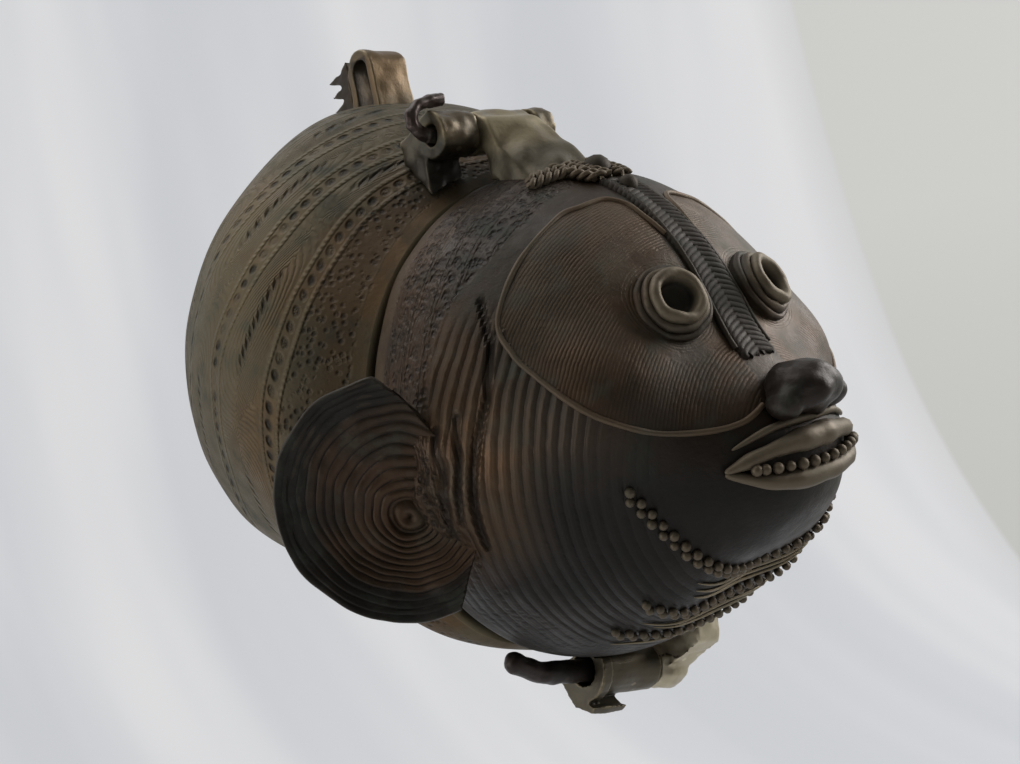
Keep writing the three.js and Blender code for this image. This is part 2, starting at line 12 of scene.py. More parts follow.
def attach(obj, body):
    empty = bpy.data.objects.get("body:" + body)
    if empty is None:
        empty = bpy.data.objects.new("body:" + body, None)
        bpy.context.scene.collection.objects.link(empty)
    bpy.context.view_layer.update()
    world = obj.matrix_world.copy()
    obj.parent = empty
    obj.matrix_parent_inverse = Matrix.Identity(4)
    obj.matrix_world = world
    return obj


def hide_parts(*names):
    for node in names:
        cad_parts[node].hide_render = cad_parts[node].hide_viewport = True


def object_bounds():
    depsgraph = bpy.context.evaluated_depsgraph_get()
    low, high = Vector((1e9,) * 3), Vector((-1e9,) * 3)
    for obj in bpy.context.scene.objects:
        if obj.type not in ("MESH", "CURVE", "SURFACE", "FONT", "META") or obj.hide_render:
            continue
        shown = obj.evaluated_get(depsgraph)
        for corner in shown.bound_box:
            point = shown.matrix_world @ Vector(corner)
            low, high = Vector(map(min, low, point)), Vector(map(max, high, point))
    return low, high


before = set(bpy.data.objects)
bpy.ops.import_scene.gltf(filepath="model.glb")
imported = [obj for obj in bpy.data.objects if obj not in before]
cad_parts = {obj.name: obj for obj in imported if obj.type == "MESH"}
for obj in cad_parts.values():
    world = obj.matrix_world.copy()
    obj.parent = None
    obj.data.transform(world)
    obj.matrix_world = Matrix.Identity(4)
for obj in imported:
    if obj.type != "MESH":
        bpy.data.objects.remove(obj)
cad_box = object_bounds()

# Camera, at the photograph's viewing angle: level with the box, to the head's right of its face,
# and leaning over to the left by eleven degrees. It looks at the round mouth between bowl and lid.
MOUTH = Vector((0, -0.041, -0.0832043))
azimuth, elevation, roll = (math.radians(v) for v in (-39.8, 2.5, -10.9))
back = Vector((
    math.sin(azimuth) * math.cos(elevation), -math.cos(azimuth) * math.cos(elevation), math.sin(elevation)))
level = Vector((math.cos(azimuth), math.sin(azimuth), 0))
above = back.cross(level)
across = math.cos(roll) * level + math.sin(roll) * above
upright = math.cos(roll) * above - math.sin(roll) * level
camera = bpy.data.objects.new("camera", bpy.data.cameras.new("camera"))
bpy.context.collection.objects.link(camera)
camera.matrix_world = Matrix((
    (across.x, upright.x, back.x, 0),
    (across.y, upright.y, back.y, 0),
    (across.z, upright.z, back.z, 0),
    (0, 0, 0, 1),
))
camera.location = MOUTH + 0.2424 * back - 0.0116 * across + 0.006 * upright
camera.data.sensor_width = 36
camera.data.lens = 1205.2 * 36 / 1020
camera.data.clip_start = 0.01
bpy.context.scene.camera = camera
bpy.context.scene.view_settings.view_transform = "Standard"


def linear(code):
    """An sRGB hex colour as linear red, green, blue and alpha."""
    parts = [int(code[i:i + 2], 16) / 255 for i in (1, 3, 5)]
    return [v / 12.92 if v <= 0.04045 else ((v + 0.055) / 1.055) ** 2.4 for v in parts] + [1]


def add(tree, kind, settings=None, **links):
    """Adds a node: settings are its own properties or its inputs' values, links go to its inputs."""
    node = tree.nodes.new("ShaderNode" + kind)
    for key, value in (settings or {}).items():
        if isinstance(key, int) or key in node.inputs:
            node.inputs[key].default_value = value
        else:
            setattr(node, key, value)
    for key, source in links.items():
        key = int(key[1:]) if key[0] == "_" else key.replace("_", " ")
        tree.links.new(source if isinstance(source, bpy.types.NodeSocket) else source.outputs[0], node.inputs[key])
    return node


def material(name):
    """An empty node material and its tree."""
    made = bpy.data.materials.new(name)
    made.use_nodes = True
    made.node_tree.nodes.clear()
    return made, made.node_tree


# Floor and backdrop: a white cotton sheet, hung behind the box and swept forward far below it. It stays
# pale where the camera sees it, with the soft folds of hanging cloth painted on as light and shade, and
# still takes the box's shadow.
SHEET_FLOOR, SHEET_WIDTH, SHEET_TOP = cad_box[0][2] - 0.22, 6, 3
SHEET_BEHIND, SHEET_BEND, BEND_STEPS = 0.55, 0.25, 12
sheet_mesh = bpy.data.meshes.new("cotton_sheet")
bm = bmesh.new()
run = bm.edges.new([bm.verts.new((side * SHEET_WIDTH / 2, -3, SHEET_FLOOR)) for side in (-1, 1)])
sweep = []
for i in range(BEND_STEPS + 1):
    turn = math.radians(90 * i / BEND_STEPS)
    sweep.append((SHEET_BEHIND - SHEET_BEND * (1 - math.sin(turn)), SHEET_FLOOR + SHEET_BEND * (1 - math.cos(turn))))
for y, z in [*sweep, (SHEET_BEHIND, SHEET_TOP)]:
    out = bmesh.ops.extrude_edge_only(bm, edges=[run])["geom"]
    run = next(g for g in out if isinstance(g, bmesh.types.BMEdge))
    for v in run.verts:
        v.co.y, v.co.z = y, z
bmesh.ops.rotate(bm, verts=bm.verts, cent=MOUTH, matrix=Matrix.Rotation(azimuth, 3, "Z"))
bm.to_mesh(sheet_mesh)
bm.free()
for face in sheet_mesh.polygons:
    face.use_smooth = True
sheet = bpy.data.objects.new("cotton_sheet", sheet_mesh)
bpy.context.collection.objects.link(sheet)
cotton, tree = material("white_cotton")
place = add(tree, "TexCoord").outputs["Object"]
# The folds are painted on the flat sheet as soft stripes of light and shade.
hang = add(tree, "Mapping", {"Rotation": (0, math.radians(-12), -azimuth), "Scale": (9, 0, 1.2)}, Vector=place)
painted_folds = add(tree, "TexNoise", {"Scale": 1.0, "Detail": 3, "Roughness": 0.5}, Vector=hang)
painted_folds = add(tree, "MapRange", {"interpolation_type": "SMOOTHSTEP", "From Min": 0.35, "From Max": 0.65}, Value=painted_folds)
shade = add(tree, "Mix", {"data_type": "RGBA", 6: linear("#cfd1d5"), 7: linear("#e2e2e3")}, _0=painted_folds)
# To the right the sheet ends in a slanting, slightly bowed edge, and the grey wall of the room shows.
square = add(tree, "Mapping", {"Rotation": (0, 0, -azimuth), "Location": (-0.276, 0, -MOUTH.z)}, Vector=place)
square = add(tree, "SeparateXYZ", None, Vector=square).outputs
slant = add(tree, "Math", {"operation": "MULTIPLY_ADD", 1: 0.17}, _0=square["Z"], _2=square["X"])
bow = add(tree, "Math", {"operation": "MULTIPLY"}, _0=square["Z"], _1=square["Z"])
past = add(tree, "Math", {"operation": "MULTIPLY_ADD", 1: -0.3}, _0=bow, _2=slant)
# A soft crease of painted shade runs along the cloth's edge, and the wall beyond it is painted darker towards the
# bottom, as shade.
painted_crease = add(tree, "MapRange", {"From Min": -0.03, "From Max": 0.0, "To Max": 0.5}, Value=past)
shade = add(tree, "Mix", {"data_type": "RGBA", 7: linear("#c6c6c6")}, _0=painted_crease, _6=shade.outputs[2])
height = add(tree, "MapRange", {"From Min": -0.3, "From Max": 0.05}, Value=square["Z"])
wall = add(tree, "Mix", {"data_type": "RGBA", 6: linear("#bdbdb9"), 7: linear("#d0d0cd")}, _0=height)
edge = add(tree, "MapRange", {"From Min": -0.002, "From Max": 0.002}, Value=past)
shade = add(tree, "Mix", {"data_type": "RGBA"}, _0=edge, _6=shade.outputs[2], _7=wall.outputs[2])
lit = add(tree, "BsdfDiffuse", None, Color=shade.outputs[2])
# It glows a little where it is seen, directly or in the bronze, so that it stays pale, and is plain cloth
# to the light.
seen = add(tree, "Emission", {"Strength": 1.0}, Color=shade.outputs[2])
path = add(tree, "LightPath")
glimpsed = add(tree, "Math", {"operation": "MAXIMUM"},
               _0=path.outputs["Is Camera Ray"], _1=path.outputs["Is Glossy Ray"])
glimpsed = add(tree, "Math", {"operation": "MAXIMUM"}, _0=glimpsed, _1=path.outputs["Is Transmission Ray"])
share = add(tree, "Math", {"operation": "MULTIPLY", 1: 0.82}, _0=glimpsed)
add(tree, "OutputMaterial", None, Surface=add(tree, "MixShader", None, _0=share, _1=lit, _2=seen))
sheet_mesh.materials.append(cotton)

# Light: a pale room, a broad soft window high behind the skull and another beyond the far cheek, so that
# the near side of the face lies in its own shade.
world = bpy.data.worlds.new("pale_room")
bpy.context.scene.world = world
world.use_nodes = True
world.node_tree.nodes["Background"].inputs["Color"].default_value = linear("#e6e6e4")
world.node_tree.nodes["Background"].inputs["Strength"].default_value = 0.17


def window(name, side, rise, toward, size, power):
    """A soft square lamp that looks at the box, placed in metres to the camera's right, up and towards it."""
    lamp = bpy.data.objects.new(name, bpy.data.lights.new(name, "AREA"))
    lamp.data.shape = "SQUARE"
    lamp.data.size = size
    lamp.data.energy = power
    offset = side * level + rise * Vector((0, 0, 1)) + toward * back
    lamp.location = MOUTH + offset
    lamp.rotation_euler = (-offset).to_track_quat("-Z", "Y").to_euler()
    bpy.context.collection.objects.link(lamp)


window("window_above", -0.25, 0.8, -0.1, 0.8, 3.5)
window("window_beyond", 0.85, 0.35, -0.25, 0.6, 7.5)
window("window_left", -0.85, 0.1, 0.25, 0.6, 2.6)

# The bowl is the skull: a round pot in thick leaded bronze, lifted at the back. Bands of leaf-shaped fields
# in fine wax thread run round it between rows of pits, rough ground follows the rim, and the rim is plain.
RIM_RADIUS, WALL = 48, 3.2
BOWL_RADIUS, BOWL_WIDEST, BOWL_DEPTH = 59, 25, 95
SKULL_LIFT, SKULL_ABOVE, SKULL_BELOW = 16, 56.5, 47
BANDS_END, LEAVES = 108, (8, 7, 6, 5)
PIT_ROWS, PIT_SPACING = (20, 36, 54, 76), 3.6
bowl_place = Matrix.Translation(MOUTH) @ Matrix.Scale(0.001, 4)


def cast_bronze(name, dark, skin, rubbed, warm, threads=False, rough=0.5, wear=0.35, lumps=0.8):
    """Patinated cast bronze: brown-black in its hollows, as patina and as painted shade, olive brown where air and
    hands reach it, and rubbed to dull yellow where it stands out. The tint on its points makes it darker, partly
    as painted shade (X), more worn and in places lit with painted light (Y), and warmer (Z). With threads it
    reads the wax lines laid out on a shell."""
    made, tree = material(name)

    def math_node(operation, first, second=0.0, third=0.0, clamp=False):
        node = add(tree, "Math", {"operation": operation, "use_clamp": clamp})
        for socket, value in zip(node.inputs, (first, second, third)):
            if isinstance(value, (int, float)):
                socket.default_value = value
            else:
                tree.links.new(value, socket)
        return node.outputs[0]

    def ramp(value, start, end, low=0.0, high=1.0, kind="SMOOTHSTEP"):
        return add(tree, "MapRange", {
            "interpolation_type": kind, "From Min": start, "From Max": end, "To Min": low, "To Max": high,
        }, Value=value).outputs[0]

    def blend(share, under, over):
        sides = {key: linear(side) for key, side in ((6, under), (7, over)) if isinstance(side, str)}
        links = {f"_{key}": side for key, side in ((6, under), (7, over)) if not isinstance(side, str)}
        return add(tree, "Mix", {"data_type": "RGBA", **sides}, _0=share, **links).outputs[2]

    def read(attribute):
        found = add(tree, "Attribute", {"attribute_name": attribute}).outputs["Vector"]
        return add(tree, "SeparateXYZ", None, Vector=found).outputs

    place = add(tree, "TexCoord").outputs["Object"]
    # Patina clouds about 22 mm across, blotches of 6 mm and the sandy grain of the clay mould.
    clouds = add(tree, "TexNoise", {"Scale": 45, "Detail": 5, "Roughness": 0.6}, Vector=place).outputs[0]
    blotch = add(tree, "TexNoise", {"Scale": 160, "Detail": 6, "Roughness": 0.65}, Vector=place).outputs[0]
    grain = add(tree, "TexNoise", {"Scale": 1100, "Detail": 4, "Roughness": 0.7}, Vector=place).outputs[0]
    point = add(tree, "NewGeometry").outputs["Pointiness"]
    high = ramp(point, 0.505, 0.56)
    low = ramp(point, 0.495, 0.44)
    height = math_node("MULTIPLY_ADD", blotch, 0.2 * lumps, math_node("MULTIPLY", grain, 0.07))
    tint = read("tint")
    if threads:
        lay, zone, kind = read("lay"), read("zone"), read("kind")
        wander = ramp(blotch, 0, 1, -0.5, 0.5, "LINEAR")
        line = math_node("ADD", lay["X"], wander)

        def ridges(pitch, mask):
            """Rounded threads laid side by side, as far apart as the pitch in millimetres."""
            wave = math_node("SINE", math_node("MULTIPLY", line, math.pi / pitch))
            return math_node("MULTIPLY", math_node("ABSOLUTE", wave), mask)

        # Fine thread of 0.55 mm, drawn at 0.7 mm so that it shows, and wax wire of 2.2 mm.
        strength = math_node("MULTIPLY", zone["X"], ramp(clouds, 0.36, 0.62, 0.35, 1))
        fine = ridges(0.7, strength)
        coarse = ridges(2.2, zone["Y"])
        # Oval pits pushed into the wax every 3.6 mm, between two twisted wires.
        along = math_node("PINGPONG", math_node("MULTIPLY_ADD", wander, 1.5, lay["Z"]), PIT_SPACING / 2)
        oval = add(tree, "CombineXYZ", None, X=math_node("MULTIPLY", along, 0.62), Y=lay["Y"])
        pit = add(tree, "VectorMath", {"operation": "LENGTH"}, _0=oval).outputs["Value"]
        pit = ramp(math_node("ADD", pit, math_node("MULTIPLY", wander, 0.9)), 0.95, 0.35)
        aside = math_node("ABSOLUTE", lay["Y"])
        rope = ramp(math_node("ABSOLUTE", math_node("SUBTRACT", aside, 1.65)), 0.6, 0.1)
        twist = math_node("SINE", math_node("MULTIPLY_ADD", lay["Z"], 4.2, math_node("MULTIPLY", lay["Y"], 3.0)))
        rope = math_node("MULTIPLY", rope, ramp(twist, -1, 1, 0.5, 1, "LINEAR"))
        pit = math_node("MULTIPLY", math_node("MULTIPLY", pit, kind["X"]), ramp(blotch, 0.38, 0.56, 0.25, 1))
        rope = math_node("MULTIPLY", rope, kind["X"])
        # Rough ground: small uneven hollows about 1.4 mm apart, some of them closed up.
        cell = add(tree, "TexVoronoi", {"Scale": 720, "Randomness": 1.0}, Vector=place).outputs["Distance"]
        dots = math_node("MULTIPLY", ramp(cell, 0.55, 0.15), ramp(blotch, 0.36, 0.5))
        dots = math_node("MULTIPLY", dots, zone["Z"])
        # What each stands out or sinks in millimetres, and how it gathers dirt and painted shade or gets rubbed.
        slit = kind["Y"]
        reliefs = ((0.14, fine), (0.42, coarse), (0.35, rope), (-0.65, pit), (-0.3, dots), (-1.1, slit))
        for relief, part in reliefs:
            height = math_node("MULTIPLY_ADD", part, relief, height)
        for part in (pit, math_node("MULTIPLY", dots, 0.7), slit):
            low = math_node("MAXIMUM", low, part)
        # The gaps between the threads and between the wires are painted darker, as shade.
        between = math_node("SUBTRACT", strength, fine)
        low = math_node("MULTIPLY_ADD", between, 0.22, low)
        between = math_node("SUBTRACT", zone["Y"], coarse)
        low = math_node("MULTIPLY_ADD", between, 0.3, low, clamp=True)
        for share, part in ((0.2, fine), (0.25, coarse), (0.35, rope)):
            high = math_node("MULTIPLY_ADD", part, share, high, clamp=True)
    colour = blend(ramp(clouds, 0.38, 0.66), skin, warm)
    # Spots of green-grey corrosion, red-brown warmth in clouds, rubbed lights and painted light, darkening and
    # painted shade, and dirt and painted shade in the hollows.
    colour = blend(ramp(blotch, 0.48, 0.7, 0, 0.7), colour, "#3c423a")
    colour = blend(math_node("MULTIPLY", tint["Z"], ramp(clouds, 0.38, 0.62, 0.15, 0.85)), colour, "#6b4a2b")
    colour = blend(math_node("MULTIPLY", high, wear), colour, rubbed)
    colour = blend(math_node("MULTIPLY", tint["Y"], ramp(blotch, 0.3, 0.6, 0.35, 1)), colour, rubbed)
    colour = blend(math_node("MULTIPLY", tint["X"], 0.85), colour, dark)
    colour = blend(math_node("MULTIPLY", low, 0.8), colour, dark)
    dull = ramp(blotch, 0.3, 0.7, rough - 0.1, rough + 0.14, "LINEAR")
    bump = add(tree, "Bump", {"Strength": 1.0, "Distance": 0.001}, Height=height)
    shader = add(tree, "BsdfPrincipled", {"Metallic": 0.6}, Base_Color=colour, Roughness=dull, Normal=bump)
    add(tree, "OutputMaterial", None, Surface=shader)
    return made


def smooth_step(value, start, end):
    """0 up to the start, 1 from the end on, and an even curve between them."""
    share = np.clip((value - start) / (end - start), 0, 1)
    return share * share * (3 - 2 * share)


def lift_skull(y, z):
    """Height on the skull, which is lifted and flattened a little behind the rim."""
    share = smooth_step(y, 0, 40)
    over = 1 + (SKULL_ABOVE / BOWL_RADIUS - 1) * share
    under = 1 + (SKULL_BELOW / BOWL_RADIUS - 1) * smooth_step(y, 0, 18)
    return z * np.where(z > 0, over, under) + SKULL_LIFT * share


def bowl_profile(offset, steps):
    """Half profile from the rim to the back: radius and place behind the rim."""
    t = np.linspace(0, 1, steps // 3 + 1)[:-1]
    corners = ((RIM_RADIUS, 0), (RIM_RADIUS + 0.25 * (BOWL_RADIUS - RIM_RADIUS), 0.16 * BOWL_WIDEST),
               (BOWL_RADIUS, 0.45 * BOWL_WIDEST), (BOWL_RADIUS, BOWL_WIDEST))
    pulls = (math.comb(3, i) * (1 - t) ** (3 - i) * t ** i for i in range(4))
    front = sum(pull[:, None] * np.array(corner) for pull, corner in zip(pulls, corners))
    turn = np.linspace(0, math.pi / 2, steps - steps // 3)
    rear = np.stack([BOWL_RADIUS * np.cos(turn), BOWL_WIDEST + (BOWL_DEPTH - BOWL_WIDEST) * np.sin(turn)], 1)
    points = np.concatenate([front, rear])
    along = np.gradient(points, axis=0)
    along /= np.linalg.norm(along, axis=1, keepdims=True)
    moved = points + offset * np.stack([along[:, 1], -along[:, 0]], 1)
    moved[-1, 0] = 0
    return moved


def spin_profile(points, axis, steps):
    """Spins a profile that starts and ends on the axis, and closes its seam and poles."""
    bm = bmesh.new()
    verts = [bm.verts.new(point) for point in points]
    edges = [bm.edges.new(pair) for pair in zip(verts, verts[1:])]
    bmesh.ops.spin(bm, geom=verts + edges, cent=(0, 0, 0), axis=axis, angle=2 * math.pi, steps=steps, use_merge=True)
    bmesh.ops.remove_doubles(bm, verts=bm.verts, dist=1e-5)
    return bm


def finish(name, bm, place, look, body, slot, *nodes):
    """Makes the finished piece: placed in the frame, smooth, facing outwards, in its metal and on its body."""
    bmesh.ops.recalc_face_normals(bm, faces=bm.faces)
    bmesh.ops.transform(bm, matrix=place, verts=bm.verts)
    mesh = bpy.data.meshes.new(name)
    bm.to_mesh(mesh)
    bm.free()
    mesh.polygons.foreach_set("use_smooth", [True] * len(mesh.polygons))
    mesh.materials.append(look)
    made = bpy.data.objects.new(name, mesh)
    bpy.context.collection.objects.link(made)
    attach(made, body)
    if nodes:
        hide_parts(*nodes)
    return made


def read_points(bm):
    """The places of a bmesh's points, as an array that write_points puts back."""
    return np.array([v.co[:] for v in bm.verts])


def write_points(bm, points):
    for vert, point in zip(bm.verts, points):
        vert.co = point


def lay_out(piece, **layers):
    """Stores triples of numbers on a piece's points, for its material: each one for all points or one a point."""
    count = len(piece.data.vertices)
    for name, columns in layers.items():
        triples = np.stack([np.broadcast_to(column, count) for column in columns], 1)
        layer = piece.data.attributes.new(name, "FLOAT_VECTOR", "POINT")
        layer.data.foreach_set("vector", triples.astype(np.float32).ravel())


def ripple(points, size, amount, seed=0.0):
    """Uneven hand-shaped relief: noise of a given size and depth in millimetres, for each point."""
    places = points / size + np.array([seed, 0, 0])
    return np.array([amount * noise.noise(Vector(place)) for place in places])


outer = bowl_profile(0, 165)
inner = bowl_profile(-WALL, 24)
inner[0] = (RIM_RADIUS - WALL, 0)
bm = spin_profile([(r, y, 0) for r, y in [*inner[::-1], *outer]], (0, 1, 0), 400)
flat = read_points(bm)
# How far each point lies from the rim along the wall, and where round it, from the top.
arc = np.concatenate([[0], np.cumsum(np.linalg.norm(np.diff(outer, axis=0), axis=1))])
radius = np.hypot(flat[:, 0], flat[:, 2])
outside = (radius >= np.interp(flat[:, 1], outer[:, 1], outer[:, 0]) - 0.5 * WALL).astype(float)
away = np.interp(flat[:, 1], outer[:, 1], arc)
round_turn = np.arctan2(flat[:, 0], flat[:, 2])
lifted = flat.copy()
lifted[:, 2] = lift_skull(flat[:, 1], flat[:, 2])
# The wall is uneven, fuller at both shoulders and lower flanks, and drawn in behind the bottom of the rim.
shoulders = 1.6 * np.exp(-((np.abs(round_turn) - 0.3) / 0.3) ** 2)
flanks = 3.4 * np.exp(-((np.abs(round_turn) - 2.3) / 0.4) ** 2)
full = smooth_step(away, 8, 45) * (1 - smooth_step(away, 95, 122)) * (0.1 + shoulders + flanks)
sink = outside * (0.15 - full + ripple(flat, 14, 0.3)) * smooth_step(away, 2, 6)
bottom = smooth_step(np.abs(round_turn), 2.35, 2.8) * (1 - smooth_step(away, 20, 45))
sink += (2.0 + 1.5 * smooth_step(away, 2, 8)) * outside * bottom
outwards = flat - np.array([0, 20, 0])
lifted -= outwards / np.maximum(np.linalg.norm(outwards, axis=1), 1)[:, None] * sink[:, None]
write_points(bm, lifted)
# The bands lie steeper than the rim: close to it at the hinge and far behind it at the bottom.
stretch = 1 - 0.57 * np.cos(round_turn) * (1 - smooth_step(away, 95, 128))
band = away / stretch + ripple(flat, 30, 1.6)
lines, row, slit = away.copy(), np.full(len(flat), 9.0), np.zeros(len(flat))
# In each band the threads run along the sides of its leaves, and a slit lies along a leaf's middle.
for k, (start, end) in enumerate(zip(PIT_ROWS, (*PIT_ROWS[1:], BANDS_END))):
    here = (band >= start) & (band < end)
    half = 0.5 * (end - start) * stretch
    aside = (band - 0.5 * (start + end)) / (0.5 * (end - start))
    share = (round_turn / (2 * math.pi) * LEAVES[k] + 0.37 * k + 0.3 * aside) % 1
    lengthwise = 2 * share - 1
    leaf = (1 - lengthwise ** 2) * 0.95
    lines[here] = ((leaf - np.abs(aside)) * half + 40)[here]
    mid = np.clip(1 - np.abs(aside) * half / 0.5, 0, 1) * smooth_step(0.55 - np.abs(lengthwise), 0, 0.2)
    slit[here] = mid[here]
for value in PIT_ROWS:
    gap = (band - value) * stretch
    nearer = np.abs(gap) < np.abs(row)
    row[nearer] = gap[nearer]
close = smooth_step(3.0 - np.abs(row), 0, 0.6) * (1 - 0.35 * smooth_step(band, 60, 75))
ground = smooth_step(away, 2.5, 3.5) * (1 - smooth_step(band, 17.0, 18.0)) * outside
rim_plain = 1 - smooth_step(away, 2.5, 3.5)
threads = outside * (1 - ground) * (1 - close) * (1 - rim_plain)
# The inside and the rough ground are darkened, and shade is painted on the top and at the back. The near
# shoulder is worn yellow, and brown warmth follows the rim.
patch = np.exp(-((round_turn + 0.95) / 0.3) ** 2 - ((away - 33) / 14) ** 2)
painted_top_shade = smooth_step(1.3 - np.abs(round_turn), 0, 0.9)
dark_and_painted_shade = np.maximum(1 - outside, 0.32 * ground + 0.25 * painted_top_shade + 0.5 * smooth_step(away, 45, 85))
warm = outside * (0.4 * smooth_step(34 - band, 0, 14) + 0.4 * patch)
bowl_bronze = cast_bronze("bowl_cast_bronze", "#14120e", "#574e3a", "#938a6e", "#594a30", threads=True, rough=0.6)
bowl = finish("bowl", bm, bowl_place, bowl_bronze, "bowl", "bowl_bronze", "bowl_shell")
# lay: millimetres across the threads, off the nearest row of pits and along it. zone: how much there is of
# fine thread, coarse wire and rough ground. kind: rows of pits, and slits.
lay_out(
    bowl,
    lay=(lines, row, round_turn * radius),
    zone=(threads * (1 - slit), 0, ground),
    kind=(close * outside, slit * outside, 0),
    tint=(dark_and_painted_shade, 0.35 * outside * patch, warm),
)

# The hanging loop is a broad strap of wax bent over and pressed down on the skull, rubbed bright by use.
# A ragged frill, the flash of the casting channels, stands behind it.
rubbed_bronze = cast_bronze("rubbed_cast_bronze", "#191613", "#4f483b", "#9a8d70", "#5c4e33", rough=0.42, wear=0.6)
wire_bronze = cast_bronze("wire_cast_bronze", "#13100d", "#352d24", "#736856", "#3f3124", rough=0.56, wear=0.45)


def blend_lumps(bm, voxel, rounds, size, amount, seed):
    """Presses separate lumps of a bmesh into one uneven mass, with sizes in its own units."""
    loose = bpy.data.meshes.new("loose_lumps")
    bm.to_mesh(loose)
    model = bpy.data.objects.new("loose_lumps", loose)
    bpy.context.collection.objects.link(model)
    even = model.modifiers.new("even", "REMESH")
    even.mode, even.voxel_size = "VOXEL", voxel
    sunk = model.modifiers.new("sunk", "SMOOTH")
    sunk.factor, sunk.iterations = 0.5, rounds
    cast = bpy.data.meshes.new_from_object(model.evaluated_get(bpy.context.evaluated_depsgraph_get()))
    bpy.data.objects.remove(model)
    bpy.data.meshes.remove(loose)
    bm.clear()
    bm.from_mesh(cast)
    bpy.data.meshes.remove(cast)
    bm.normal_update()
    points = read_points(bm)
    normals = np.array([v.normal[:] for v in bm.verts])
    write_points(bm, points + normals * (ripple(points, size, amount, seed) - 0.3 * amount)[:, None])


def soften(name, node, look, body, slot, voxel, rounds, size, amount, seed=0.0, tint=(0, 0, 0), bend=None):
    """Casts a CAD node as wax would give it: its edges sunk round and its faces uneven, sizes in millimetres.
    A share of the tint may be a rule for the points, and bend is a rule that moves them."""
    bm = bmesh.new()
    bm.from_mesh(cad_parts[node].data)
    bmesh.ops.remove_doubles(bm, verts=bm.verts, dist=1e-7)
    bmesh.ops.scale(bm, vec=(1000, 1000, 1000), verts=bm.verts)
    blend_lumps(bm, voxel, rounds, size, amount, seed)
    points = read_points(bm)
    if bend:
        points = bend(points)
        write_points(bm, points)
    made = finish(name, bm, Matrix.Scale(0.001, 4), look, body, slot, node)
    lay_out(made, tint=[value(points) if callable(value) else value for value in tint])
    return made


FRILL_FOOT = np.array([0, 5.3, -14.9])


def ragged(points):
    """Draws the frill out from its foot behind the loop, where it broke off unevenly."""
    return FRILL_FOOT + (points - FRILL_FOOT) * (1, 1.8, 1.35)


def painted_hole_shade(points):
    """Painted shade inside the loop's hole, between its legs and under its crown."""
    return 0.85 * smooth_step(3.3 - np.abs(points[:, 1]), 0, 0.6) * smooth_step(0.6 - points[:, 2], 0, 0.6)


soften("loop", "hanging_loop", rubbed_bronze, "bowl", "rubbed_bronze", 0.3, 6, 3.6, 0.36, tint=(painted_hole_shade, 0.1, 0.5))
soften("frill", "loop_frill", wire_bronze, "bowl", "bowl_bronze", 0.22, 2, 1.2, 0.35, bend=ragged)

# The clasp's barrel is a strap of wax rolled into a tube with a collar, and cast on the bottom of the
# bowl's rim. Its loose end is left standing.
soften("barrel", "clasp_barrel", rubbed_bronze, "bowl", "rubbed_bronze", 0.3, 3, 4, 0.3, tint=(0.25, 0.1, 0.1))

# The hinge turns on a bent bronze wire. It runs through two rolled lugs, cast on the top of the bowl's rim,
# and through the lid's strap between them.
pin_bronze = cast_bronze("forged_pin_bronze", "#191412", "#3a302c", "#776a63", "#47362e", rough=0.42)
# The near lug's lower part, below the hinge wire, is painted dark as shade.
soften("near_lug", "bowl_hinge_lug_right", rubbed_bronze, "bowl", "rubbed_bronze", 0.35, 6, 2.5, 0.4,
       tint=(lambda p: 0.9 * smooth_step(-p[:, 2], 26, 31), 0, 0.2))
soften("far_lug", "bowl_hinge_lug_left", rubbed_bronze, "bowl", "rubbed_bronze", 0.35, 6, 2.5, 0.4, 3)
soften("hinge_wire", "hinge_pin", pin_bronze, "bowl", "pin_metal", 0.25, 3, 1.6, 0.35)

# The lid is the face: a dome with a muzzle. Threads run in rings about the mouth, close together on the
# cheeks and coarse down the jaw, the chin is smooth, and rough ground and pits follow the rim.
LID_DEPTH, RIM_GAP, LID_AJAR, HINGE_HEIGHT = 44.5, 0.4, 3, 57
MOUTH_PITCH, CHIN_EDGE, EYE_COILS_END = -14, 30.5, 12.5
MUZZLE_REACH, MUZZLE_PITCH, MUZZLE_HALF_WIDTH, MUZZLE_HALF_HEIGHT = 11, -17, 22, 17
EYE_TURN, EYE_PITCH = 16, 20
# Cheek, jaw and ear root swell a little: how far, then turn and half width, pitch and half height.
SWELLS = [(4.2, 36, 15, 2, 15), (4.0, 26, 16, -38, 16), (3.2, 74, 9, -5, 19)]
lid_place = (
    bowl_place
    @ Matrix.Translation((0, 0, HINGE_HEIGHT))
    @ Matrix.Rotation(math.radians(-LID_AJAR), 4, "X")
    @ Matrix.Translation((0, 0, -HINGE_HEIGHT))
)


def face_radius(d):
    """Distance from the middle of the lid's rim to the face, along unit directions."""
    turn = np.degrees(np.arctan2(d[:, 0], -d[:, 1]))
    pitch = np.degrees(np.arcsin(np.clip(d[:, 2], -1, 1)))
    plain = 1 / np.sqrt((d[:, 0] / RIM_RADIUS) ** 2 + (d[:, 1] / LID_DEPTH) ** 2 + (d[:, 2] / RIM_RADIUS) ** 2)
    off = np.hypot(turn / MUZZLE_HALF_WIDTH, (pitch - MUZZLE_PITCH) / MUZZLE_HALF_HEIGHT)
    swell = sum(
        reach * np.exp(-((np.abs(turn) - t) / wide) ** 2 - ((pitch - p) / high) ** 2)
        for reach, t, wide, p, high in SWELLS
    )
    return plain + MUZZLE_REACH * np.exp(-0.7 * off ** 2.6) + swell


def on_face(turn, pitch, lift=0.0):
    """Points above the face, by their turn and pitch from straight ahead, in degrees."""
    t, p = np.radians(np.atleast_1d(turn).astype(float)), np.radians(np.atleast_1d(pitch).astype(float))
    d = np.stack([np.sin(t) * np.cos(p), -np.cos(t) * np.cos(p), np.sin(p)], 1)
    return d * (face_radius(d) + lift)[:, None] - np.array([0, RIM_GAP, 0])


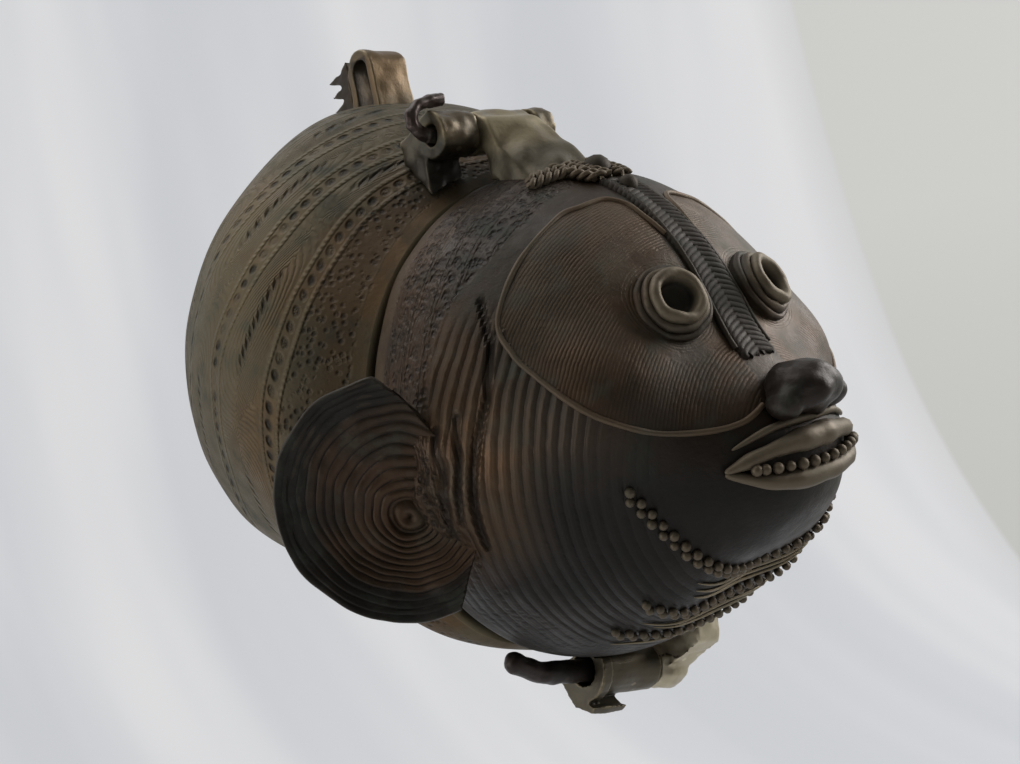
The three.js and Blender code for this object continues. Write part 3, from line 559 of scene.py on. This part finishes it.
# The raised edge of the cheek, given on the head's right side as turn and pitch from straight ahead.
CHEEK = [(8.6, 44), (11, 49), (17, 51.5), (27, 50), (36, 47.5), (49, 37), (55.8, 24), (53.5, 16), (50, 11),
         (44, 4), (38.5, -0.6), (30, -5), (21, -6.8), (13.5, -6.6), (8, -4.4), (5.5, 0), (5.8, 7), (7.6, 19.5)]


def inside_loop(x, y, loop):
    """Whether points lie inside a closed loop of corners."""
    found = np.zeros(len(x), bool)
    for (x0, y0), (x1, y1) in zip(loop, loop[1:] + loop[:1]):
        crosses = (y0 > y) != (y1 > y)
        found ^= crosses & (x < (x1 - x0) * (y - y0) / (y1 - y0 + 1e-12) + x0)
    return found


def near_path(x, y, path, width):
    """1 on a path across the face and 0 beyond its width in degrees."""
    nearest = np.full(len(x), 1e9)
    for (x0, y0), (x1, y1) in zip(path, path[1:]):
        dx, dy = x1 - x0, y1 - y0
        t = np.clip(((x - x0) * dx + (y - y0) * dy) / (dx * dx + dy * dy), 0, 1)
        nearest = np.minimum(nearest, np.hypot(x - x0 - t * dx, y - y0 - t * dy))
    return 1 - smooth_step(nearest, 0.3 * width, width)


def dome(steps, size):
    """Quarter circle of directions from the front pole to the rim, at a size that tells the two walls apart."""
    turn = np.linspace(0, math.pi / 2, steps)
    return [(size * math.sin(t), -size * math.cos(t), 0) for t in turn]


bm = spin_profile([*dome(22, 0.5), *dome(140, 1)[::-1]], (0, 1, 0), 400)
unit = read_points(bm)
size = np.linalg.norm(unit, axis=1)
outside = (size > 0.75).astype(float)
heading = unit / size[:, None]
turn = np.degrees(np.arctan2(heading[:, 0], -heading[:, 1]))
pitch = np.degrees(np.arcsin(np.clip(heading[:, 2], -1, 1)))
from_rim = (math.pi / 2 - np.arccos(np.clip(-heading[:, 1], -1, 1))) * RIM_RADIUS
mouth = np.array([0, -math.cos(math.radians(MOUTH_PITCH)), math.sin(math.radians(MOUTH_PITCH))])
from_mouth = np.degrees(np.arccos(np.clip(heading @ mouth, -1, 1)))
cheek = inside_loop(np.abs(turn), pitch, CHEEK)
chin_edge = CHIN_EDGE - 3 * np.exp(-(turn / 22) ** 2)
chin = (1 - smooth_step(from_mouth - chin_edge, -1.5, 0)) * ~cheek
ground_width = 15 + 9 * smooth_step(pitch, 20, 50)
ground = smooth_step(from_rim, 2.5, 3.5) * (1 - smooth_step(from_rim - ground_width, -1.5, 0)) * outside
ground = ground * (1 - 0.6 * smooth_step(-pitch, 10, 30))
rim_plain = 1 - smooth_step(from_rim, 2.5, 3.5)
fine = outside * cheek * 0.5
coarse = outside * ~cheek * (1 - chin) * (1 - np.clip(ground * 1.6, 0, 1)) * (1 - rim_plain)
coarse = coarse * (1 - smooth_step(pitch, 14, 30)) * (0.35 + 0.65 * smooth_step(from_mouth, 34, 52))
# Grooves that run down behind the cheek, from the notch at its corner to the ear's root. They are dented a
# little, and painted dark as shade.
GROOVES = [
    [(59.5, 29), (58, 19), (60.4, 8), (64.4, -1.2), (67.4, -11), (69, -21)],
    [(71.5, 4), (71.6, -5.5), (74, -14), (75.3, -19)],
    [(67, 6), (68, -3), (71, -14)],
]
groove = sum(near_path(np.abs(turn), pitch, path, w) for path, w in zip(GROOVES, (1.1, 1.3, 0.9)))
groove = np.clip(groove, 0, 1) * outside * 0.7
root = np.exp(-((np.abs(turn) - 76) / 9) ** 2 - ((pitch + 5) / 20) ** 2)
skin = heading * RIM_RADIUS
rough_root = root * (ripple(skin, 4.5, 1.2, 3) + ripple(skin, 2, 0.3, 5))
depth = np.where(outside > 0, 0.2 - ripple(skin, 12, 0.35) - rough_root + 0.5 * groove, WALL)
formed = heading * (face_radius(heading) - depth)[:, None]
formed[:, 1] -= RIM_GAP
write_points(bm, formed)
row = (from_rim + ripple(skin, 9, 0.8)) % 4.2 - 2.1
rows = ground * smooth_step(from_rim, 4, 5) * smooth_step(pitch, -30, -10)
face_bronze = cast_bronze(
    "face_cast_bronze", "#0f0d0b", "#332b22", "#645947", "#3d2f22", threads=True, rough=0.5, lumps=1.1)
lid = finish("lid", bm, lid_place, face_bronze, "lid", "face_bronze", "lid_shell")
# Round each eye the fine threads turn about the eye, and everywhere else about the mouth.
eye_off = np.hypot((np.abs(turn) - EYE_TURN) * np.cos(np.radians(pitch)), pitch - EYE_PITCH)
fine *= smooth_step(np.abs(eye_off - EYE_COILS_END), 0.4, 1.8)
lines = np.where(eye_off < EYE_COILS_END, eye_off * 0.9, np.radians(from_mouth) * 52)
# The inside is darkened, and shade is painted over the lower near side of the face, on the rough ground and
# on the brow. The strip behind the cheek and the rim are worn yellow, and the cheek's upper part is lit with
# painted light.
gold = np.exp(-((np.abs(turn) - 62) / 9) ** 2 - ((pitch - 2) / 13) ** 2)
painted_lower_face_shade = smooth_step(-pitch, -5, 20) * (1 - smooth_step(turn, -10, 25)) * (
    1 - smooth_step(-turn, 50, 62) * (1 - smooth_step(-pitch, 18, 34)))
dark_and_painted_shade = np.maximum.reduce([1 - outside, painted_lower_face_shade, 0.4 * ground, 0.3 * smooth_step(pitch, 28, 42) * ~cheek])
wear_and_painted_light = outside * (0.25 * cheek * smooth_step(pitch, 0, 22) + 0.25 * gold + 0.35 * rim_plain)
warm = outside * np.clip(0.3 * cheek + gold + 0.4 * (1 - smooth_step(from_rim, 6, 30)), 0, 1)
lay_out(
    lid,
    lay=(lines, row, np.arctan2(heading[:, 0], heading[:, 2]) * RIM_RADIUS),
    zone=(fine + coarse * 0.3 + ground * 0.3, coarse, ground),
    kind=(rows * 0.5, groove, 0),
    tint=(dark_and_painted_shade, wear_and_painted_light, warm),
)

# The lid's half of the hinge is a flat tongue of wax, rolled round the wire, pressed down on the brow and
# cast in one with the lid. Hands have rubbed it bright.
HINGE_LINE, STRAP_BORE = np.array([0, -41, -26.2]), 2.15


def pressed_down(points):
    """Rounds the tongue over at its near side, where a thumb pressed it on to the brow, and keeps its bore open."""
    points = points.copy()
    over = np.maximum(-points[:, 0] - 3, 0) * smooth_step(-points[:, 1], 45, 49)
    points[:, 2] -= 0.05 * over ** 2 * smooth_step(points[:, 2], -40, -34)
    off = (points - HINGE_LINE) * (0, 1, 1)
    near = np.linalg.norm(off, axis=1, keepdims=True)
    return points + off * (np.maximum(STRAP_BORE / near, 1) - 1)


# The strap's lower part, below the hinge roll, is painted dark as shade.
soften("strap", "lid_hinge_strap", rubbed_bronze, "lid", "rubbed_bronze", 0.45, 24, 5, 0.7, bend=pressed_down,
       tint=(lambda p: 0.8 * smooth_step(-p[:, 2], 28, 33), 0.7, 0))

# The lid's half of the clasp is a lumpy knuckle with a bore that the pin slides into. It is modelled by
# hand in wax on the bottom of the lid's rim and cast with it, and is the brightest piece.
bright_bronze = cast_bronze("worn_bright_bronze", "#191613", "#a2977f", "#d2c8ae", "#8d806a", rough=0.42, wear=0.7)
soften("clasp_knuckle", "lid_clasp_lug", bright_bronze, "lid", "rubbed_bronze", 0.35, 6, 3.6, 0.8, 5,
       tint=(0, 0.6, 0), bend=lambda p: p + 0.15 * np.sign(np.mean(p, axis=0) - p) * (0, 0, 1))

# The ears are saucers coiled from wax wire: a dark flange of three thin wires, then nine rings of thicker
# wire round a hollow button. Each is cut off and stuck on where the wax of the cheek was pressed rough.
EAR_RADIUS, EAR_DISH, EAR_CUT, EAR_HUB_DROP = 21.4, 4.0, 11.5, 4.2
EAR_CENTRE, EAR_OUT_TURN, EAR_LEAN = (49.8, -7.5, -5.8), 47, -9
ear_bronze = cast_bronze("ear_cast_bronze", "#100f0c", "#211c16", "#463c2e", "#2a2118", wear=0.45)


def ear_height(r):
    """Height of the ear's face over its dish: rings of wire with rounded backs."""
    if r < 3.2:
        return 0.9 * math.sin(math.pi * min(r, 2.6) / 2.6) - 0.4
    if r < 16.4:
        wave = (r - 3.2) / 1.47 % 1
        return 0.55 * math.sqrt(max(0, 1 - (2 * wave - 1) ** 2)) - 0.15
    wave = (r - 16.4) / 1.3 % 1
    return 0.28 * math.sqrt(max(0, 1 - (2 * wave - 1) ** 2)) + 0.05 * (r - 16.4)


for side, name in ((-1, "right"), (1, "left")):
    turn = math.radians(EAR_OUT_TURN)
    outward = Vector((side * math.sin(turn), -math.cos(turn), math.tan(math.radians(EAR_LEAN)))).normalized()
    inward = Vector((-side * math.cos(turn), -math.sin(turn), 0)).normalized()
    third = outward.cross(inward).normalized()
    inward = third.cross(outward)
    spread = [i * EAR_RADIUS / 150 for i in range(151)]
    face = [(r, 0, EAR_DISH * (r / EAR_RADIUS) ** 2 + ear_height(r)) for r in spread]
    rear = [(r, 0, EAR_DISH * (r / EAR_RADIUS) ** 2 - 1.9 * (1 - 0.4 * r / EAR_RADIUS)) for r in spread[::-12]]
    bm = spin_profile([*face, (EAR_RADIUS + 0.35, 0, EAR_DISH), *rear], (0, 0, 1), 144)
    # The first cut is the one that meets the cheek, and the others take off its upper and lower corner.
    for start, lean in ((0, 0), (-5, -0.54), (8, 0.4)):
        bmesh.ops.bisect_plane(bm, geom=bm.verts[:] + bm.edges[:] + bm.faces[:], clear_outer=True,
                               plane_co=(EAR_CUT, side * start, 0), plane_no=(1 - 0.3 * abs(lean), side * lean, 0))
    bmesh.ops.holes_fill(bm, edges=[e for e in bm.edges if e.is_boundary])
    points = read_points(bm)
    far = np.hypot(points[:, 0], points[:, 1])
    points[:, 1] += side * EAR_HUB_DROP * (1 - smooth_step(far, 0, EAR_RADIUS - 3))
    points[:, 2] += ripple(points, 7, 0.7, side) + 0.5 * ripple(points, 3, 0.5, side + 9)
    points[:, :2] += np.stack([ripple(points, 5, 0.6, side + k) for k in (3, 5)], 1) * (far < EAR_RADIUS - 2)[:, None]
    swell = 1 - smooth_step(far, EAR_RADIUS - 4, EAR_RADIUS) * (0.02 + ripple(points, 8, 0.025, side))
    points[:, :2] *= swell[:, None]
    write_points(bm, points)
    place = Matrix((
        (inward.x, third.x, outward.x, side * EAR_CENTRE[0]),
        (inward.y, third.y, outward.y, EAR_CENTRE[1]),
        (inward.z, third.z, outward.z, EAR_CENTRE[2]),
        (0, 0, 0, 1),
    ))
    ear = finish("coiled_ear_" + name, bm, lid_place @ place, ear_bronze, "lid", "ear_bronze", "ear_" + name)
    flange = smooth_step(far, 15.4, 17)
    brassy = smooth_step(points[:, 0], 0, 8) * smooth_step(-side * points[:, 1], -6, 6)
    lay_out(ear, tint=(0.35 * flange, 0.3 * brassy, (1 - flange) * 0.3))

# The eyes are short tubes with a deep round hole, coiled in wax from the same wire and stuck on the cheeks.
# Each coil is narrower than the one below it.
EYE_RADIUS, EYE_ROOT, EYE_HOLE = 7.2, -2.2, 3.1
COILS = [(6.4, 0.2, 0.75), (5.3, 1.2, 0.85), (4.2, 2.6, 1.0)]
for side, name in ((-1, "right"), (1, "left")):
    outline = [(0, 0, EYE_ROOT), (EYE_RADIUS, 0, EYE_ROOT)]
    for r, z, thick in COILS:
        for step in range(9):
            a = math.radians(-30 + 165 * step / 8)
            outline.append((r + thick * math.cos(a), 0, z + thick * math.sin(a)))
    outline += [(EYE_HOLE, 0, 2.2), (EYE_HOLE - 0.2, 0, 1.2), (EYE_HOLE - 0.9, 0, 0.7), (0, 0, 0.7)]
    bm = spin_profile(outline, (0, 0, 1), 48)
    bmesh.ops.subdivide_edges(bm, edges=bm.edges, cuts=1, use_grid_fill=True)
    points = read_points(bm)
    points += np.stack([ripple(points, 3.5, 0.35, side + k) for k in (2, 4, 6)], 1)
    write_points(bm, points)
    centre = Vector(on_face(side * EYE_TURN, EYE_PITCH)[0])
    place = Matrix.Translation(centre) @ centre.to_track_quat("Z", "Y").to_matrix().to_4x4()
    eye = finish("coiled_eye_" + name, bm, lid_place @ place, wire_bronze, "lid", "face_bronze", "eye_" + name)
    # The inside of the eye's hole is painted dark as shade.
    painted_eye_hole_shade = (1 - smooth_step(np.hypot(points[:, 0], points[:, 1]), 2.7, 3.4)) * (points[:, 2] < 2.3)
    lay_out(eye, tint=(0.3 * painted_eye_hole_shade, 1.0 * smooth_step(points[:, 2], 1.2, 2.6), 0.1))

# Nose and lips are a lump and rolls of wax pressed on to the muzzle and cast with it, with a row of small
# pellets for teeth.
dark_bronze = cast_bronze("sooty_cast_bronze", "#0e0c0b", "#25211d", "#504940", "#2b231d", rough=0.44, lumps=1.2)
soften("nose_lump", "nose", dark_bronze, "lid", "face_bronze", 0.4, 6, 4, 0.8, 2,
       bend=lambda p: p * (1 + 0.14 * smooth_step(p[:, :1], 1, 5) * (1, 0, 0)))


def trace(stations, count, lift=0.0):
    """A smooth path over the face through stations of turn and pitch, with the face's normals along it."""
    corners = np.array([stations[0], *stations, stations[-1]], float)
    share = np.linspace(0, len(stations) - 1 - 1e-9, count)
    k, t = share.astype(int), (share % 1)[:, None]
    a, b, c, d = (corners[k + i] for i in range(4))
    line = 0.5 * (2 * b + (c - a) * t + (2 * a - 5 * b + 4 * c - d) * t ** 2 + (3 * b - a - 3 * c + d) * t ** 3)
    turn, pitch = line[:, 0], line[:, 1]
    normal = np.cross(on_face(turn + 0.2, pitch) - on_face(turn - 0.2, pitch),
                      on_face(turn, pitch + 0.2) - on_face(turn, pitch - 0.2))
    normal /= np.linalg.norm(normal, axis=1, keepdims=True)
    normal *= np.sign(np.sum(normal * on_face(turn, pitch), axis=1))[:, None]
    return on_face(turn, pitch) + lift * normal, normal


def mirrored(stations):
    """Stations given for the head's right side, run on over the middle to its left side."""
    right = [(-turn, pitch) for turn, pitch in stations]
    return right + [(turn, pitch) for turn, pitch in stations[::-1] if turn > 0]


def lay_wires(name, paths, radius, look, slot, *nodes, tint=(0, 0, 0), swell=None):
    """Wax wires laid along paths of points, in millimetres, as one piece; swell is their thickness along them."""
    curve = bpy.data.curves.new(name, "CURVE")
    curve.dimensions, curve.bevel_depth, curve.bevel_resolution = "3D", radius, 3
    curve.use_fill_caps = True
    for k, points in enumerate(paths):
        spline = curve.splines.new("POLY")
        spline.points.add(len(points) - 1)
        thick = np.ones(len(points)) if swell is None else swell[k]
        for target, point, share in zip(spline.points, points, thick):
            target.co = (*point, 1)
            target.radius = share * (0.9 + 0.22 * noise.noise(Vector(point) / 4))
    model = bpy.data.objects.new(name, curve)
    mesh = bpy.data.meshes.new_from_object(model)
    bpy.data.objects.remove(model)
    bpy.data.curves.remove(curve)
    bm = bmesh.new()
    bm.from_mesh(mesh)
    bpy.data.meshes.remove(mesh)
    made = finish(name, bm, lid_place, look, "lid", slot, *nodes)
    lay_out(made, tint=tint)
    return made


def twisted(points, normals, reach, rise, lay, strands, phase=0.0, knot=1):
    """Strands that wind or plait about a path; knot 2 makes a flat plait, knot 1 a twisted cord."""
    along = np.gradient(points, axis=0)
    run = np.concatenate([[0], np.cumsum(np.linalg.norm(np.diff(points, axis=0), axis=1))])
    along /= np.linalg.norm(along, axis=1, keepdims=True)
    aside = np.cross(along, normals)
    made = []
    for i in range(strands):
        angle = 2 * math.pi * (run / lay + i / strands) + phase
        over = np.sin(angle) if knot == 2 else np.cos(angle)
        lift = np.sin(2 * angle) if knot == 2 else np.sin(angle)
        made.append(points + aside * (reach * over)[:, None] + normals * (rise * lift)[:, None])
    return made


LIPS = [
    (0.9, [(17, -10.8), (9, -8.6), (0, -8.2)]),
    (2.2, [(19, -14.4), (12, -12.4), (5, -11.5), (0, -11.4)]),
    (2.15, [(19, -14.8), (12, -16.8), (5, -17.5), (0, -17.5)]),
]
along = np.linspace(0, math.pi, 90)
rolls = [trace(mirrored(stations), 90, 0.3 * thick)[0] for thick, stations in LIPS]
taper = [thick * (0.12 + 0.88 * np.sin(along) ** 0.6) for thick, _ in LIPS]
lay_wires("lip_rolls", rolls, 1, wire_bronze, "face_bronze", "lips", tint=(0, 0.55, 0), swell=taper)


def set_beads(bm, points, radius):
    """Pellets of wax, pressed on one by one and none quite alike."""
    for point in points:
        grow = radius * (1 + 0.18 * noise.noise(Vector(point) * 3.1))
        bmesh.ops.create_uvsphere(bm, u_segments=10, v_segments=6, radius=grow, matrix=Matrix.Translation(point))


bm = bmesh.new()
set_beads(bm, trace(mirrored([(14, -14.6), (8, -14.9), (0, -15.1)]), 13, 1.5)[0], 0.95)
teeth = finish("teeth", bm, lid_place, wire_bronze, "lid", "face_bronze")
lay_out(teeth, tint=(0, 0.3, 0.1))

# A flat plait of six wax cords runs from the brow down to the nose, between two thin wires, with a knob
# where it starts and one above it. All are stuck on in wax and cast with the lid.
# The plait, its edge wires and the knobs are painted darker than the face, as shade, where they lie on top.
plait_painted_shade_bronze = cast_bronze("plait_cast_bronze", "#100e0c", "#2a241d", "#544a3c", "#32281f", rough=0.64, wear=0.3)
points, normals = trace([(0, 60), (0, 45), (0, 30), (0, 15), (0, 5)], 260, -0.55)
plait = twisted(points, normals, 3.5, 0.2, 7, 3, knot=2)
plait += twisted(points, normals, 3.5, 0.2, 7, 3, phase=math.pi / 3, knot=2)
lay_wires("forehead_plait", plait, 0.95, plait_painted_shade_bronze, "face_bronze", "forehead_ridge", tint=(0.5, 0, 0))
sides = [trace([(s, 58), (s, 40), (s, 20), (s, 7)], 60, 0.05)[0] for s in (-5.6, 5.6)]
lay_wires("plait_edges", sides, 0.55, plait_painted_shade_bronze, "face_bronze", tint=(0.1, 0, 0))
bm = bmesh.new()
for pitch, lift, radius in ((66, 0.5, 2.5), (56, 0.1, 1.9)):
    set_beads(bm, trace([(0, pitch)] * 2, 1, lift)[0], radius)
knobs = finish("brow_knobs", bm, lid_place, plait_painted_shade_bronze, "lid", "face_bronze")
lay_out(knobs, tint=(0.1, 0.1, 0))

# Each cheek and its eye are fenced by one bent wire of wax, cast with the lid. It starts at the plait, runs
# down to the ear and comes back to the nose.
for side, name in ((-1, "right"), (1, "left")):
    fence = trace([(side * turn, pitch) for turn, pitch in [(6.3, 37.5), *CHEEK[:15]]], 200, -0.2)[0]
    lay_wires("cheek_edge_" + name, [fence], 0.58, wire_bronze, "face_bronze", tint=(0.15, 0.1, 0.7))

# Strings of pearls make the beard: pellets of wax set zigzag along the jaw, between thin wires, and cast
# with the lid.
PEARL_RADIUS, PEARL_SPACING, ZIGZAG = 0.84, 1.3, 0.6
PEARL_ROWS = {
    "jaw_pearls": ("jaw_beads", [(37, -16), (27, -29), (14, -37.5), (0, -40)]),
    "beard_pearls": ("beard_beads", [(37, -43), (22, -49), (0, -52)]),
    "throat_pearls": ("throat_beads", [(48, -54), (26, -61), (0, -63)]),
}
for name, (node, stations) in PEARL_ROWS.items():
    points, normals = trace(mirrored(stations), 500, 0.25)
    run = np.concatenate([[0], np.cumsum(np.linalg.norm(np.diff(points, axis=0), axis=1))])
    count = round(run[-1] / PEARL_SPACING)
    pick = np.interp(np.linspace(0, run[-1], count), run, np.arange(len(run))).astype(int)
    aside = np.cross(np.gradient(points, axis=0), normals)
    aside /= np.linalg.norm(aside, axis=1, keepdims=True)
    zigzag = np.where(np.arange(count) % 2, ZIGZAG, -ZIGZAG)[:, None]
    bm = bmesh.new()
    set_beads(bm, points[pick] + aside[pick] * zigzag, PEARL_RADIUS)
    pearls = finish(name, bm, lid_place, wire_bronze, "lid", "face_bronze", node)
    lay_out(pearls, tint=(0, 0.15, 0))
jaw_wires = [trace(mirrored([(turn, pitch), (0.55 * turn, pitch - 4.5), (0, pitch - 6)]), 90, 0.1)[0]
             for turn, pitch in ((24, -37.5), (24, -39.8), (24, -42.1), (38, -50.5), (34, -53.5), (52, -60))]
thin = [np.sin(np.linspace(0.04, math.pi - 0.04, 90)) ** 0.5] * len(jaw_wires)
lay_wires("beard_wires", jaw_wires, 0.38, rubbed_bronze, "face_bronze", tint=(0.2, 0, 0.3), swell=thin)

# Twisted cords of two wax wires lie on the brow, from the hinge down to the plait and across above the
# cheeks. They are cast with the lid.
cords = []
for turn in (-24, -15, -7, 7, 15):
    points, normals = trace([(turn * 1.3, 76), (turn, 70), (turn * 0.8, 64), (turn * 0.5, 60)], 90, 0.7)
    cords += twisted(points, normals, 0.55, 0.55, 3.2, 2)
for pitch in (64.5, 67.5):
    points, normals = trace([(-42, pitch - 3), (-28, pitch), (-15, pitch + 1), (-4, pitch)], 120, 0.6)
    cords += twisted(points, normals, 0.6, 0.6, 3.6, 2)
lay_wires("brow_cords", cords, 0.6, wire_bronze, "face_bronze", tint=(0, 0.2, 0.2))

# The clasp's pin is a forged bronze rod with a rounded grip that is bent up along the box. It slides in the
# barrel and, to shut the box, on into the knuckle.
soften("clasp_rod", "clasp_pin", pin_bronze, "pin", "pin_metal", 0.3, 4, 2.5, 0.25, tint=(0.75, 0, 0),
       bend=lambda p: p + smooth_step(-p[:, :1], 19, 28.5) * (0, 0, 1.3))
